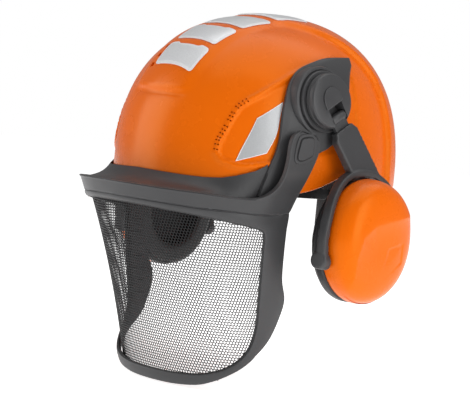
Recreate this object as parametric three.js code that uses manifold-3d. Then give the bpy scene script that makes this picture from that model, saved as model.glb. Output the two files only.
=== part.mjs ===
// Forestry helmet for a child: ventilated shell, mesh visor on a lifting bracket, swinging ear muffs
// and an adjustable head harness. Millimetres, +Z up, the front faces -Y, +X is the wearer's left.
// The origin is the centre of the headband's opening, level with the shell's front rim.
import * as THREE from 'three';
import { mergeVertices } from 'three/addons/utils/BufferGeometryUtils.js';
import Module from 'manifold-3d';

const wasm = await Module();
wasm.setup();
const { sin, cos, abs, sign, hypot, atan2, exp, max, min, PI } = Math;
const V = (x, y, z) => new THREE.Vector3(x, y, z);
const RAD = PI / 180;

// ---- driving dimensions ----
const GAP = 0.3; // between pieces that rest on each other
const SHELL = {
  front: 119.6, rear: 100.7, halfWidth: 91.1, height: 121, power: 2.27, crownPower: 2.56, wall: 2.6,
};
const CREST = { rise: 1.9, bevel: 5 };
const RIM = { front: -8, napeDrop: 6, archRise: 23, archAt: 101, archSpread: 26 };
const FILM = 0.6; // thickness of a reflective patch
const PLATE = { inner: 0.5, outer: 3.3 }; // side plates, as heights above the shell
const PIVOT = { y: -47, z: 26, x: 92.2, boss: 7, pin: 4, play: 0.3 }; // visor pivot
const VISOR = { wall: 3.5, railTop: -7, meshTop: -24, sideTop: -36, meshCorner: -106, meshLow: -150 };
const PEAK_GAP = 3.7; // between the peak's lip and the rail, so that the mesh passes the lip
const TURRET = { y: -26, x: 84.5, z: 59.7, tilt: 9, ring: 26, drum: 20, face: 13, base: 5, rivet: 4 };
const ARM = { swingBack: 30, flare: 4, hinge: 14, hingeHeight: 9.5, width: 14, thick: 3, length: 40 };
const CUP = { y: 3.5, z: -38.5, width: 40, height: 45.5, seam: 110.5, face: 136, base: 102, pad: 96 };
const STUD = { z: -53, x: 106, radius: 2.6 };
const YOKE = { gap: 2, band: 4.5, low: 102, high: 110 };
const BAND = { halfWidth: 72, halfLength: 92, wall: 2, low: -12, high: 10, rear: 18, pad: 4 };
const STRAP = { halfWidth: 9, wall: 1.6, top: 98, side: 77, front: 95.5, rear: 84.5, low: 12, tab: 16 };
const NAPE = { low: -11, high: 8, start: 32, reach: 48, overlap: 26, lobe: 15, lobeLow: -39 };
const KNOB = { z: -28, radius: 12, depth: 11, lobes: 16 };

// ---- solids ----
const weld = (geometry) => {
  const plain = geometry.clone();
  plain.deleteAttribute('normal');
  plain.deleteAttribute('uv');
  return mergeVertices(plain, 1e-4);
};

const toSolid = (geometry) => {
  const merged = weld(geometry);
  const vertProperties = new Float32Array(merged.attributes.position.array);
  const triVerts = new Uint32Array(merged.index.array);
  return new wasm.Manifold(new wasm.Mesh({ numProp: 3, vertProperties, triVerts }));
};

const toGeometry = (solid) => {
  const mesh = solid.getMesh();
  const geometry = new THREE.BufferGeometry();
  geometry.setAttribute('position', new THREE.BufferAttribute(new Float32Array(mesh.vertProperties), 3));
  geometry.setIndex(new THREE.BufferAttribute(new Uint32Array(mesh.triVerts), 1));
  geometry.computeVertexNormals();
  return geometry;
};

const join = (...parts) => toGeometry(parts.map(toSolid).reduce((all, part) => all.add(part)));
const cut = (body, ...tools) =>
  toGeometry(tools.map(toSolid).reduce((left, tool) => left.subtract(tool), toSolid(body)));

// moves every point of a geometry to where `place` puts it
const reshape = (geometry, place) => {
  const position = geometry.attributes.position;
  for (let i = 0; i < position.count; i++) {
    const point = place(position.getX(i), position.getY(i), position.getZ(i));
    position.setXYZ(i, point.x, point.y, point.z);
  }
  return geometry;
};

// turns the faces outwards where a bend or a mirror has turned them in
const faceOut = (geometry) => {
  const welded = weld(geometry);
  const corner = [V(0, 0, 0), V(0, 0, 0), V(0, 0, 0)];
  const order = welded.index.array;
  let volume = 0;
  for (let i = 0; i < order.length; i += 3) {
    corner.forEach((point, k) => point.fromBufferAttribute(welded.attributes.position, order[i + k]));
    volume += corner[0].dot(corner[1].clone().cross(corner[2]));
  }
  if (volume < 0) welded.setIndex([...order].reverse());
  welded.computeVertexNormals();
  return welded;
};

// a block whose directions run from 0 to 1, bent to a surface by `place(s, t, w)`
const slab = (across, along, place) => faceOut(
  reshape(new THREE.BoxGeometry(1, 1, 1, across, along, 1), (x, y, z) => place(x + 0.5, y + 0.5, z + 0.5)));

// a cylinder that runs from point `from` for `length` in direction `along`
const rod = (from, along, length, radius, sides = 24, tip = radius) => {
  const direction = along.clone().normalize();
  const turn = new THREE.Quaternion().setFromUnitVectors(V(0, 1, 0), direction);
  const middle = from.clone().addScaledVector(direction, length / 2);
  return new THREE.CylinderGeometry(tip, radius, length, sides).applyQuaternion(turn).translate(...middle);
};

// an outline in Y and Z, extruded along X from `x0` to `x1`
const plateYZ = (shape, x0, x1) => faceOut(reshape(
  new THREE.ExtrudeGeometry(shape, { depth: x1 - x0, bevelEnabled: false, curveSegments: 8 }),
  (y, z, depth) => V(x0 + depth, y, z),
));

// ---- the shell's surface ----
const { halfWidth: B, height: H } = SHELL;
const lengthAt = (y) => (y < 0 ? SHELL.front : SHELL.rear);
const flatTerm = (value, size) => abs(value / size) ** SHELL.power;
const upTerm = (z) => abs(z / H) ** SHELL.crownPower;

// the crest's edge, seen from above: narrow over the forehead, fanning out to cover the back
const CREST_EDGE = [[28, -115], [29, -60], [30, -19], [52, 22], [66, 46], [80, 54], [100, 52]];

const crestHeight = (x, y) => {
  let nearest = Infinity;
  let inside = 1;
  for (let i = 1; i < CREST_EDGE.length; i++) {
    const [x0, y0] = CREST_EDGE[i - 1];
    const [x1, y1] = CREST_EDGE[i];
    const [dx, dy] = [x1 - x0, y1 - y0];
    const along = max(0, min(1, ((abs(x) - x0) * dx + (y - y0) * dy) / (dx * dx + dy * dy)));
    const distance = hypot(abs(x) - x0 - along * dx, y - y0 - along * dy);
    if (distance < nearest) {
      nearest = distance;
      inside = sign((y - y0) * dx - (abs(x) - x0) * dy) || 1;
    }
  }
  const edge = THREE.MathUtils.smoothstep(inside * nearest, -CREST.bevel / 2, CREST.bevel / 2);
  const forehead = THREE.MathUtils.smoothstep(y, -108, -98);
  return CREST.rise * edge * forehead;
};

const shellNormal = (p) => V(
  sign(p.x) * SHELL.power * flatTerm(p.x, B) / max(abs(p.x), 1e-6),
  sign(p.y) * SHELL.power * flatTerm(p.y, lengthAt(p.y)) / max(abs(p.y), 1e-6),
  sign(p.z) * SHELL.crownPower * upTerm(p.z) / max(abs(p.z), 1e-6),
).normalize();

const raise = (p, lift) =>
  p.clone().addScaledVector(shellNormal(p), lift + (p.z > 0 ? crestHeight(p.x, p.y) : 0));

// a point on the shell from its angle round from the front and its angle up
const shellPolar = (round, up, lift) => {
  const way = V(sin(round) * cos(up), -cos(round) * cos(up), sin(up));
  const inside = (reach) => {
    const flat = flatTerm(way.x * reach, B) + flatTerm(way.y * reach, lengthAt(way.y));
    return flat + upTerm(way.z * reach) < 1;
  };
  let [near, far] = [0, 2 * H];
  for (let i = 0; i < 40; i++) {
    const middle = (near + far) / 2;
    [near, far] = inside(middle) ? [middle, far] : [near, middle];
  }
  return raise(way.multiplyScalar(near), lift);
};
const shellRadius = (round) =>
  (flatTerm(sin(round), B) + flatTerm(cos(round), lengthAt(-cos(round)))) ** (-1 / SHELL.power);
const shellAtHeight = (round, z, lift) => {
  const reach = shellRadius(round) * (1 - upTerm(z)) ** (1 / SHELL.power);
  return raise(V(sin(round) * reach, -cos(round) * reach, z), lift);
};
const shellFromSide = (y, z, lift) => {
  const left = max(0, 1 - flatTerm(y, lengthAt(y)) - upTerm(z));
  return raise(V(B * left ** (1 / SHELL.power), y, z), lift);
};
const shellFromTop = (x, y, lift) => {
  const left = max(0, 1 - flatTerm(x, B) - flatTerm(y, lengthAt(y)));
  return raise(V(x, y, H * left ** (1 / SHELL.crownPower)), lift);
};

const rimHeight = (round) => {
  const angle = abs(round) / RAD;
  const drop = RIM.napeDrop * (1 - cos(round)) / 2;
  return RIM.front - drop + RIM.archRise * exp(-(((angle - RIM.archAt) / RIM.archSpread) ** 2));
};

// a closed lathe turned into the shell's shape: its radius tells how far up, its layer tells how high above
const dome = (outer, inner, sides, rings, rim = rimHeight) => {
  const quarter = (radius) => Array.from({ length: rings + 1 }, (_, i) => {
    const turn = i / rings * PI / 2;
    return new THREE.Vector2(i === rings ? 0 : radius * cos(turn), radius * sin(turn));
  });
  const above = quarter(2);
  const profile = inner === null
    ? [new THREE.Vector2(0, 0), ...above]
    : [...above, ...quarter(1).reverse(), above[0].clone()];
  return faceOut(reshape(new THREE.LatheGeometry(profile, sides), (x, y, z) => {
    const far = hypot(x, y, z);
    if (far < 0.5) return V(0, 0, rim(0));
    const round = atan2(x, -z);
    const lift = far > 1.5 ? outer : inner;
    const low = atan2(rim(round), shellRadius(round));
    const up = low + (PI / 2 - low) * atan2(y, hypot(x, z)) / (PI / 2);
    return shellPolar(round, up, lift);
  }));
};

// ---- the visor's surface ----
// an oval at every height, which narrows a little and gets much shallower towards the chin
const visorSize = (z) => {
  const drop = VISOR.railTop - z;
  return { a: 85.3 - 0.0945 * drop, y0: -66.7 + 0.096 * drop, b: 88 - 0.46 * drop + 0.0009 * drop * drop };
};
// u runs from -1 to 1 round the front, and past that straight back, in hundreds of millimetres
const visorAt = (u, z, lift) => {
  const { a, y0, b } = visorSize(z);
  const side = sign(u) || 1;
  const turn = PI / 2 * (1 - min(1, abs(u)));
  const x = (a + lift) * cos(turn);
  const y = y0 - (b + lift) * sin(turn) + max(0, abs(u) - 1) * 100;
  return V(side * x, y, z);
};
const railTop = (u) => VISOR.railTop - 5 * abs(u) ** 3;
const railLow = (u) => VISOR.meshTop + (VISOR.sideTop - VISOR.meshTop) * min(1, u * u);
const meshLow = (u) => {
  const bow = (1 - min(1, abs(u)) ** 4) ** 0.75;
  return VISOR.meshCorner + (VISOR.meshLow - VISOR.meshCorner) * bow;
};

// ---- materials ----
const finish = (color, roughness, metalness = 0) => () =>
  new THREE.MeshStandardMaterial({ color, roughness, metalness });
const orange = finish(0xf0780f, 0.28);
const darkGrey = finish(0x4a4a4c, 0.55);
const black = finish(0x1d1d1f, 0.8);
const silver = finish(0xc9cacc, 0.35, 0.2);
const steel = finish(0x8b8d90, 0.4, 0.8);

const helmet = new THREE.Group();
const leftSide = new THREE.Group();
const rightSide = new THREE.Group();
rightSide.scale.x = -1;
helmet.add(leftSide, rightSide);

const add = (name, geometry, material) => {
  const mesh = new THREE.Mesh(geometry, material());
  mesh.name = name;
  helmet.add(mesh);
};
const addPair = (name, geometry, material) => {
  for (const [group, side] of [[leftSide, 'left'], [rightSide, 'right']]) {
    const mesh = new THREE.Mesh(geometry, material());
    mesh.name = `${name}_${side}`;
    group.add(mesh);
  }
};

// ---- shell ----
const turretAxis = V(cos(TURRET.tilt * RAD), 0, sin(TURRET.tilt * RAD));
const turretFoot = V(TURRET.x, TURRET.y, TURRET.z);
const onTurret = (height) => turretFoot.clone().addScaledVector(turretAxis, height);
const mirrored = (geometry) => faceOut(geometry.clone().scale(-1, 1, 1));
const both = (geometry) => [geometry, mirrored(geometry)];

const rivetHole = rod(onTurret(-30), turretAxis, 40, TURRET.rivet + GAP);
add('shell', cut(dome(0, -SHELL.wall, 48, 11), ...both(rivetHole)), orange);

// ---- reflective patches ----
const CROWN_PATCHES = [[-101, -86, 20], [-82, -63, 21], [-58, -32, 22], [-26, 4, 23]];
CROWN_PATCHES.forEach(([front, rear, halfWidth], i) => {
  const patch = slab(6, 5, (s, t, w) =>
    shellFromTop((s * 2 - 1) * (halfWidth + 1.5 * t), front + (rear - front) * t, GAP + FILM * w));
  add(`crown_reflector_${i + 1}`, patch, silver);
});
const sidePatchEdge = new THREE.CatmullRomCurve3([V(-88, 12, 0), V(-81, 30, 0), V(-75, 44, 0)]);
const sidePatchRear = new THREE.CatmullRomCurve3([V(-71, 18, 0), V(-67, 36, 0), V(-61.5, 53, 0)]);
addPair('side_reflector', slab(4, 5, (s, t, w) => {
  const spot = sidePatchRear.getPoint(t).lerp(sidePatchEdge.getPoint(t), s);
  return shellFromSide(spot.x, spot.y, GAP + FILM * w);
}), silver);

// ---- peak and side plates, one moulding ----
const peakBrim = slab(36, 3, (s, t, w) => {
  const u = (1 - 2 * s) * 0.95;
  const lip = visorAt(u, railTop(u) - 0.5 - 2.6 * (1 - w), -VISOR.wall - PEAK_GAP);
  const round = atan2(lip.x, -lip.y);
  const rootHeight = 2 + 8 * (abs(u) / 0.95) ** 4;
  const root = shellAtHeight(round, rootHeight - 9 * (1 - w), PLATE.inner + 1.8 * w);
  return root.lerp(lip, t).add(V(0, 0, -2 * w * sin(PI * t)));
});
const plateFront = new THREE.CatmullRomCurve3(
  [[-79, -5], [-77, 8], [-69, 17], [-65, 31], [-60, 50], [-50, 72], [-40, 81], [-25, 87], [-8, 91], [17, 93]]
    .map(([y, z]) => V(y, z, 0)));
const plateRear = new THREE.CatmullRomCurve3(
  [[-56, -5], [-46, 8], [-31, 21], [-14, 31], [-4, 44], [1, 56], [3, 66], [8, 77], [15, 87]]
    .map(([y, z]) => V(y, z, 0)));
const sidePlate = slab(7, 14, (s, t, w) => {
  const spot = plateRear.getPoint(t).lerp(plateFront.getPoint(t), s);
  return shellFromSide(spot.x, spot.y, PLATE.inner + (PLATE.outer - PLATE.inner) * w);
});
const pivotFoot = V(shellFromSide(PIVOT.y, PIVOT.z, PLATE.outer - 0.3).x, PIVOT.y, PIVOT.z);
const outward = V(1, 0, 0);
const pivotBoss = rod(pivotFoot, outward, PIVOT.x - GAP - pivotFoot.x, PIVOT.boss);
const pivotPin = rod(pivotFoot, outward, PIVOT.x + 4 - pivotFoot.x, PIVOT.pin);
add('peak_carrier', cut(
  join(peakBrim, ...both(sidePlate), ...both(pivotBoss), ...both(pivotPin)), ...both(rivetHole),
), darkGrey);

// ---- visor ----
const rail = slab(40, 2, (s, t, w) => {
  const u = 1 - 2 * s;
  return visorAt(u, railLow(u) + (railTop(u) - railLow(u)) * t, -VISOR.wall * (1 - w));
});
const armShape = new THREE.Shape();
armShape.moveTo(-88, -33);
armShape.lineTo(-66, -36);
armShape.lineTo(-45, -23);
armShape.lineTo(-45.5, -8);
armShape.quadraticCurveTo(-44, 6, -34, 19);
armShape.quadraticCurveTo(-31, 33, -39, 37);
armShape.lineTo(-53, 38.5);
armShape.quadraticCurveTo(-66, 37, -62, 22);
armShape.quadraticCurveTo(-65, 0, -88, -13.5);
const ARM_FOOT = 80.6; // inner face of the arm where it joins the rail
const armLean = (z) => (ARM_FOOT - PIVOT.x) * (1 - THREE.MathUtils.smoothstep(z, -34, 8));
const bracketArm = reshape(plateYZ(armShape, PIVOT.x, PIVOT.x + 4), (x, y, z) => V(x + armLean(z), y, z));
const pivotHole = rod(V(70, PIVOT.y, PIVOT.z), V(1, 0, 0), 60, PIVOT.pin + PIVOT.play);
add('visor_bracket', cut(join(rail, ...both(bracketArm)), ...both(pivotHole)), darkGrey);

const capShape = new THREE.Shape(
  [[-58, 17], [-52, 15], [-40, 20], [-40, 33], [-43, 35.5], [-53, 34]].map((p) => new THREE.Vector2(...p)));
addPair('visor_pivot_cap', plateYZ(capShape, PIVOT.x + 4 + GAP, PIVOT.x + 6), darkGrey);

// the frame is a U-shaped strip of the visor's surface, from one column round the bottom to the other
const FRAME_OUTER = [
  [1.19, -24.5], [1.19, -58], [1.21, -79], [1.245, -90], [1.19, -102], [1.08, -118],
  [0.98, -130], [0.87, -140], [0.7, -149], [0.45, -155], [-0.02, -157.5],
];
const outerEdge = new THREE.CatmullRomCurve3(FRAME_OUTER.map(([u, z]) => V(u, z, 0)));
const CORNER_AT = 0.45; // share of the strip that is column
const innerEdge = (t) => {
  if (t < CORNER_AT) return V(0.985, -37.2 + (VISOR.meshCorner + 37.2) * t / CORNER_AT, 0);
  const u = 1.005 * cos((t - CORNER_AT) / (1 - CORNER_AT) * PI / 2) - 0.02;
  return V(u, meshLow(u), 0);
};
const halfFrame = slab(3, 28, (s, t, w) => {
  const spot = innerEdge(t).lerp(outerEdge.getPoint(t), s);
  return visorAt(spot.x, spot.y, -VISOR.wall * (1 - w));
});
add('visor_frame', join(...both(halfFrame)), darkGrey);

const meshSkin = slab(32, 6, (s, t, w) => {
  const u = (1 - 2 * s) * 1.02;
  const low = meshLow(u) - 4;
  return visorAt(u, low + (railLow(u) + 4 - low) * t, -VISOR.wall - 0.7 - 0.7 * (1 - w));
});
add('visor_mesh', meshSkin, steel);

// ---- ear muff turret ----
const armWay = V(0, sin(ARM.swingBack * RAD), -cos(ARM.swingBack * RAD));
armWay.addScaledVector(turretAxis, -armWay.dot(turretAxis)).normalize();
const hingeAxis = turretAxis.clone().cross(armWay).normalize();
const fromTurret = (out, down, across = 0) =>
  onTurret(out).addScaledVector(armWay, down).addScaledVector(hingeAxis, across);
const hinge = fromTurret(ARM.hingeHeight, ARM.hinge);

const clearOfPlate = dome(PLATE.outer + 2 * GAP, null, 48, 12, () => -30);
const turretBase = join(
  rod(onTurret(-12), turretAxis, 12 + TURRET.base - 2.5, TURRET.ring, 28),
  rod(onTurret(0), turretAxis, TURRET.base, TURRET.ring - 3, 28),
);
addPair('turret_base', cut(turretBase, clearOfPlate, rivetHole), darkGrey);

// a straight bar from `from` along `way`, `wide` across the hinge's axis and `thick` the other way
const bar = (from, way, length, wide, thick) => {
  const side = hingeAxis;
  const rise = way.clone().cross(side).normalize();
  return slab(1, 1, (s, t, w) => from.clone()
    .addScaledVector(side, (s - 0.5) * wide)
    .addScaledVector(way, t * length)
    .addScaledVector(rise, (w - 0.5) * thick));
};

const drum = join(
  rod(onTurret(TURRET.base + GAP), turretAxis, TURRET.face - TURRET.base - GAP - 1.5, TURRET.drum, 28),
  rod(onTurret(TURRET.face - 2), turretAxis, 2, TURRET.drum - 0.5, 28, TURRET.drum - 2),
);
const drumSlot = bar(fromTurret(TURRET.face - 3.2, 4), armWay, 30, ARM.width + 1.2, 11);
const pinHole = rod(hinge.clone().addScaledVector(hingeAxis, -9), hingeAxis, 18, 1.9, 16);
const rivetBore = rod(onTurret(0), turretAxis, TURRET.base + 2.7, TURRET.rivet + GAP);
addPair('turret_drum', cut(drum, drumSlot, rivetBore, pinHole), darkGrey);
addPair('turret_rivet', join(
  rod(onTurret(-9.8), turretAxis, 9.8 + TURRET.base + 2.4, TURRET.rivet),
  rod(onTurret(-9.8), turretAxis, 2, TURRET.rivet + 2.5),
), steel);

// ---- muff arm and its hinge ----
const hingePin = rod(hinge.clone().addScaledVector(hingeAxis, -8.7), hingeAxis, 17.4, 1.6, 16);
addPair('arm_hinge_pin', hingePin, steel);
const flare = ARM.flare * RAD;
const strapWay = armWay.clone().multiplyScalar(cos(flare)).addScaledVector(turretAxis, sin(flare));
const armEye = rod(hinge.clone().addScaledVector(hingeAxis, -ARM.width / 2), hingeAxis, ARM.width, 3.6, 20);
const armHole = rod(hinge.clone().addScaledVector(hingeAxis, -20), hingeAxis, 40, 1.9, 16);
const armBar = bar(hinge, strapWay, ARM.length, ARM.width, ARM.thick);
addPair('muff_arm', cut(join(armEye, armBar), armHole), darkGrey);

// ---- ear cup, as ovals stacked along X ----
const CUP_SIDES = 28;
// `profile` lists [x, size] from the axis or back to its own start; `size` scales the cup's oval
const cupLathe = (profile) => faceOut(reshape(
  new THREE.LatheGeometry(profile.map(([x, size]) => new THREE.Vector2(size, x)), CUP_SIDES),
  (side, x, up) => V(x, CUP.y + side * CUP.width, CUP.z + up * CUP.height),
));
const studHole = rod(V(STUD.x, CUP.y - 60, STUD.z), V(0, 1, 0), 120, STUD.radius + GAP, 16);

addPair('ear_cup', cupLathe([
  [CUP.face, 0], [CUP.face - 0.8, 0.45], [CUP.face - 3.5, 0.72], [CUP.face - 9, 0.91], [CUP.face - 16, 0.99],
  [CUP.seam + 3, 1.01], [CUP.seam, 1], [CUP.seam, 0.93], [CUP.face - 12, 0.88], [CUP.face - 5, 0.6],
  [CUP.face - 3, 0],
]), orange);
addPair('cup_base', cut(cupLathe([
  [CUP.base, 0.93], [CUP.base + 3, 0.99], [CUP.seam - GAP, 0.99], [CUP.seam - GAP, 0.66], [CUP.base, 0.66],
  [CUP.base, 0.93],
]), studHole), darkGrey);
addPair('ear_cushion', cupLathe([
  [CUP.pad, 0.74], [CUP.pad, 0.84], [CUP.pad + 2, 0.93], [CUP.base - GAP, 0.95],
  [CUP.base - GAP, 0.6], [CUP.pad + 2, 0.62], [CUP.pad, 0.74],
]), black);
addPair('cup_foam', cupLathe([
  [CUP.seam + 10, 0], [CUP.seam + 10, 0.8], [CUP.seam + 3, 0.84], [CUP.seam + 3, 0],
]), black);

// ---- yoke: a sleeve on the arm and a fork round the cup ----
const ovalPath = (grow, from, to, steps = 22) => Array.from({ length: steps + 1 }, (_, i) => {
  const turn = from + (to - from) * i / steps;
  return new THREE.Vector2(CUP.y + (CUP.width + grow) * cos(turn), CUP.z + (CUP.height + grow) * sin(turn));
});
const forkEnd = Math.asin((STUD.z - 5 - CUP.z) / CUP.height);
const fork = plateYZ(new THREE.Shape([
  ...ovalPath(YOKE.gap, PI - forkEnd, forkEnd),
  ...ovalPath(YOKE.gap + YOKE.band, forkEnd, PI - forkEnd),
]), YOKE.low, YOKE.high);
const sleeveStart = hinge.clone().addScaledVector(strapWay, 9);
const sleeve = bar(sleeveStart, strapWay, 44, ARM.width + 10, ARM.thick + 4);
const sleeveSlot = bar(hinge, strapWay, ARM.length + 0.6, ARM.width + 0.8, ARM.thick + 0.8);
const cupSpace = plateYZ(new THREE.Shape(ovalPath(YOKE.gap, 0, 2 * PI)), 90, 150);
addPair('muff_yoke', cut(join(fork, sleeve), sleeveSlot, cupSpace, studHole), darkGrey);
const studReach = (CUP.width + YOKE.gap + YOKE.band) * cos(forkEnd) - 1;
const stud = (side) => rod(V(STUD.x, CUP.y + side * studReach, STUD.z), V(0, -side, 0), 11, STUD.radius, 16);
addPair('yoke_stud_front', stud(-1), darkGrey);
addPair('yoke_stud_rear', stud(1), darkGrey);

// ---- head harness ----
// a strip standing round the head: half an oval whose straight ends run past the middle
const bandShape = (halfWidth, halfLength, wall, ends, way, spread = PI) => {
  const path = (grow) => Array.from({ length: 29 }, (_, i) => {
    const turn = PI / 2 - spread / 2 + spread * i / 28;
    return new THREE.Vector2((halfWidth + grow) * cos(turn), way * (halfLength + grow) * sin(turn));
  });
  const inner = path(0);
  const outer = path(wall).reverse();
  if (ends) {
    inner.unshift(new THREE.Vector2(halfWidth, -way * ends));
    inner.push(new THREE.Vector2(-halfWidth, -way * ends));
    outer.unshift(new THREE.Vector2(-halfWidth - wall, -way * ends));
    outer.push(new THREE.Vector2(halfWidth + wall, -way * ends));
  }
  return new THREE.Shape([...inner, ...outer]);
};
const standing = (shape, low, high) =>
  faceOut(new THREE.ExtrudeGeometry(shape, { depth: high - low, bevelEnabled: false }).translate(0, 0, low));

add('headband', standing(
  bandShape(BAND.halfWidth, BAND.halfLength, BAND.wall, BAND.rear, -1), BAND.low, BAND.high,
), black);
const padInset = BAND.pad + GAP;
add('sweatband', standing(
  bandShape(BAND.halfWidth - padInset, BAND.halfLength - padInset, BAND.pad, 0, -1, PI * 0.62),
  BAND.low + 1, BAND.high - 1,
), black);

const napeWidth = BAND.halfWidth + BAND.wall + GAP;
const napeRear = NAPE.start + NAPE.reach + BAND.wall;
const napeStrip = standing(bandShape(napeWidth, NAPE.reach, BAND.wall, NAPE.overlap, 1), NAPE.low, NAPE.high)
  .translate(0, NAPE.start, 0);
const napeLobe = new THREE.BoxGeometry(2 * NAPE.lobe, BAND.wall, NAPE.low + 6 - NAPE.lobeLow)
  .translate(0, napeRear - BAND.wall / 2, (NAPE.low + 6 + NAPE.lobeLow) / 2);
const napeInside = new THREE.CylinderGeometry(1, 1, 80, 64).rotateX(PI / 2)
  .scale(napeWidth, NAPE.reach, 1).translate(0, NAPE.start, 0);
add('nape_band', cut(join(napeStrip, napeLobe), napeInside), black);

const housingDepth = 9.4;
const housing = new THREE.BoxGeometry(2 * NAPE.lobe + 2, housingDepth, 2 * KNOB.radius - 2)
  .translate(0, napeRear + GAP + housingDepth / 2, KNOB.z);
const knobFoot = V(0, napeRear + housingDepth + 2 * GAP, KNOB.z);
const shaft = { radius: 3.3, length: 6 };
const backward = V(0, 1, 0);
const shaftEnd = knobFoot.clone().addScaledVector(backward, -shaft.length - GAP);
add('ratchet_housing', cut(housing, rod(shaftEnd, backward, 12, shaft.radius + GAP)), darkGrey);
const lobed = new THREE.Shape(Array.from({ length: KNOB.lobes * 4 }, (_, i) => {
  const turn = i / (KNOB.lobes * 4) * 2 * PI;
  const reach = KNOB.radius - 0.6 + 0.6 * cos(KNOB.lobes * turn);
  return new THREE.Vector2(reach * cos(turn), reach * sin(turn));
}));
const grip = new THREE.ExtrudeGeometry(lobed, { depth: KNOB.depth, bevelEnabled: false })
  .rotateX(-PI / 2).translate(...knobFoot);
add('ratchet_knob', join(
  grip, rod(knobFoot.clone().addScaledVector(backward, -shaft.length), backward, 8, shaft.radius),
), darkGrey);

// a cradle strap: a straight tab up from each end, then two quarter ovals over the head
const cradle = (before, after, top, toWorld) => slab(24, 1, (s, t, w) => {
  const end = min(s, 1 - s);
  const tabShare = 1 / 12;
  const turn = PI * (max(tabShare, min(1 - tabShare, s)) - tabShare) / (1 - 2 * tabShare);
  const along = -((s < 0.5 ? before : after) + STRAP.wall * w) * cos(turn);
  const tab = STRAP.tab * max(0, 1 - end / tabShare);
  const up = STRAP.low + (top - STRAP.low + STRAP.wall * w) * sin(turn) - tab;
  return toWorld(along, (t - 0.5) * 2 * STRAP.halfWidth, up);
});
const longTop = STRAP.top + 3;
const crossways = (along, side, up) => V(along, -side, up);
const lengthways = (along, side, up) => V(side, along, up);
add('cradle_strap_cross', cradle(STRAP.side, STRAP.side, STRAP.top, crossways), black);
add('cradle_strap_long', cradle(STRAP.front, STRAP.rear, longTop, lengthways), black);

const padTop = (r) => STRAP.low + (STRAP.top - STRAP.low) * Math.sqrt(1 - (r / STRAP.side) ** 2) - GAP - 0.5;
add('crown_pad', faceOut(new THREE.LatheGeometry(
  [[0, padTop(0)], [0, padTop(0) - 6], [14, padTop(14) - 6], [28, padTop(28) - 5], [29, padTop(29) - 2],
    [27, padTop(27)], [14, padTop(14)], [0, padTop(0)]].map((p) => new THREE.Vector2(...p)), 28,
).rotateX(PI / 2)), black);

const clip = (width, depth, height) => new THREE.BoxGeometry(width, depth, height);
const clipInner = STRAP.wall + GAP;
addPair('cradle_clip', clip(6, 22, 17).translate(STRAP.side + clipInner + 3, 0, 24), darkGrey);
add('cradle_clip_front', clip(22, 14, 16).translate(0, -STRAP.front - clipInner - 7, 17), darkGrey);
add('cradle_clip_rear', clip(22, 7, 16).translate(0, STRAP.rear + clipInner + 3.5, 17), darkGrey);

export default helmet;
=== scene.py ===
import math

import bmesh
import bpy
import numpy as np
from mathutils import Matrix, Vector


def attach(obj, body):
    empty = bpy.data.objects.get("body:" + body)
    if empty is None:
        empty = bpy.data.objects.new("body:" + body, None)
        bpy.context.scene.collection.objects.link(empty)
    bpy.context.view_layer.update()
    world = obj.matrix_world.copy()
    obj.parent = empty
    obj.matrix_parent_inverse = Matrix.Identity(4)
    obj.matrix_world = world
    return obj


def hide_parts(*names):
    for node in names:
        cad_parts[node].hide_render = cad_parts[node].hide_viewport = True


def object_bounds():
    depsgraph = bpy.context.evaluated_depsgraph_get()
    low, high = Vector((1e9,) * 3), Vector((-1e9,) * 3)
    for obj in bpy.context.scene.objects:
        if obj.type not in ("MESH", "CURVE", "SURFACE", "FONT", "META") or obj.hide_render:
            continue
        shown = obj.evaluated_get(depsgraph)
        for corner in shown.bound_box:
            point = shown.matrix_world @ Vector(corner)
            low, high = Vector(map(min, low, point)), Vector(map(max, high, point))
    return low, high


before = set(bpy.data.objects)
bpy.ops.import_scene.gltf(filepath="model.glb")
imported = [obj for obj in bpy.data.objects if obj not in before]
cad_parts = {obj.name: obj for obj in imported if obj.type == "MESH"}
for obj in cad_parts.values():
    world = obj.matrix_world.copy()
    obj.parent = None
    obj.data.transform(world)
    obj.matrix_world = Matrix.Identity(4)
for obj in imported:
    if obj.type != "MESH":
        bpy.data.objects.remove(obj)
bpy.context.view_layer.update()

MM = 0.001
scene = bpy.context.scene


# ------------------------------------------------ camera, light and floor
def camera_at(azimuth, elevation, roll, distance, lens, across, upwards):
    """A camera that looks past the origin by `across` and `upwards` times its distance."""
    a, e, t = (math.radians(v) for v in (azimuth, elevation, roll))
    back = Vector((math.sin(a) * math.cos(e), -math.cos(a) * math.cos(e), math.sin(e)))
    level = (-back).cross(Vector((0, 0, 1))).normalized()
    upright = level.cross(-back)
    right = level * math.cos(t) + upright * math.sin(t)
    up = upright * math.cos(t) - level * math.sin(t)
    away = (back - right * across - up * upwards).normalized()
    right = (right - away * right.dot(away)).normalized()
    up = away.cross(right)
    camera = bpy.data.objects.new("camera", bpy.data.cameras.new("camera"))
    scene.collection.objects.link(camera)
    turn = Matrix((right, up, away)).transposed().to_4x4()
    camera.matrix_world = Matrix.Translation(back * distance) @ turn
    camera.data.lens = lens
    camera.data.sensor_width = 36
    camera.data.clip_start, camera.data.clip_end = 0.05, 50
    scene.camera = camera


camera_at(azimuth=46.78, elevation=2.46, roll=5.63, distance=1.45265, lens=143.68, across=-0.01324,
          upwards=-0.01399)
scene.view_settings.view_transform = "Standard"
scene.view_settings.look = "None"


def lamp(name, place, size, power):
    """A soft rectangular lamp that faces the origin."""
    light = bpy.data.lights.new(name, "AREA")
    light.shape = "RECTANGLE"
    light.size, light.size_y = size
    light.energy = power
    holder = bpy.data.objects.new(name, light)
    holder.location = place
    holder.rotation_euler = (-Vector(place)).to_track_quat("-Z", "Y").to_euler()
    scene.collection.objects.link(holder)


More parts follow.
